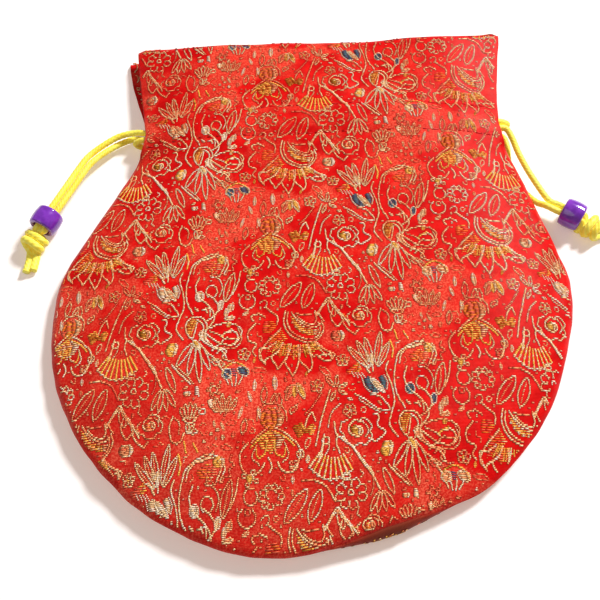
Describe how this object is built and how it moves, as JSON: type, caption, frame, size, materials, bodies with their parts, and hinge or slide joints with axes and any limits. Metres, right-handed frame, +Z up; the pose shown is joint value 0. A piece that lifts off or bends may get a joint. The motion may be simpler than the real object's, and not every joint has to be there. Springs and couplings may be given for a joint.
{
  "type": "kinchaku drawstring pouch",
  "caption": "Flat round-bottomed brocade pouch with a straight frilled neck, closed by yellow drawstrings that end in purple beads and knots.",
  "frame": {"origin": "under the middle of the pouch's own box, on the surface that it lies on", "axes": "+Z up through the flat pouch, +Y towards the mouth, +X to the right seen from above with the mouth away"},
  "size_m": [0.1825, 0.1696, 0.0124],
  "materials": {
    "brocade": "red satin brocade with gold and blue-grey figures",
    "cord": "yellow braided cord",
    "bead": "glossy purple plastic"
  },
  "bodies": {
    "pouch": {"front_panel": "brocade", "back_panel": "brocade", "drawcord_left": "cord", "drawcord_right": "cord", "knot_left": "cord", "knot_right": "cord"},
    "bead_left": {"bead_left": "bead"},
    "bead_right": {"bead_right": "bead"}
  },
  "joints": [
    {"name": "bead_left_slide", "type": "slide", "parent": "pouch", "child": "bead_left", "axis": [0.44, 0.898, 0], "range_m": [0, 0.012]},
    {"name": "bead_right_slide", "type": "slide", "parent": "pouch", "child": "bead_right", "axis": [-0.8299, 0.5579, 0], "range_m": [0, 0.004]}
  ]
}
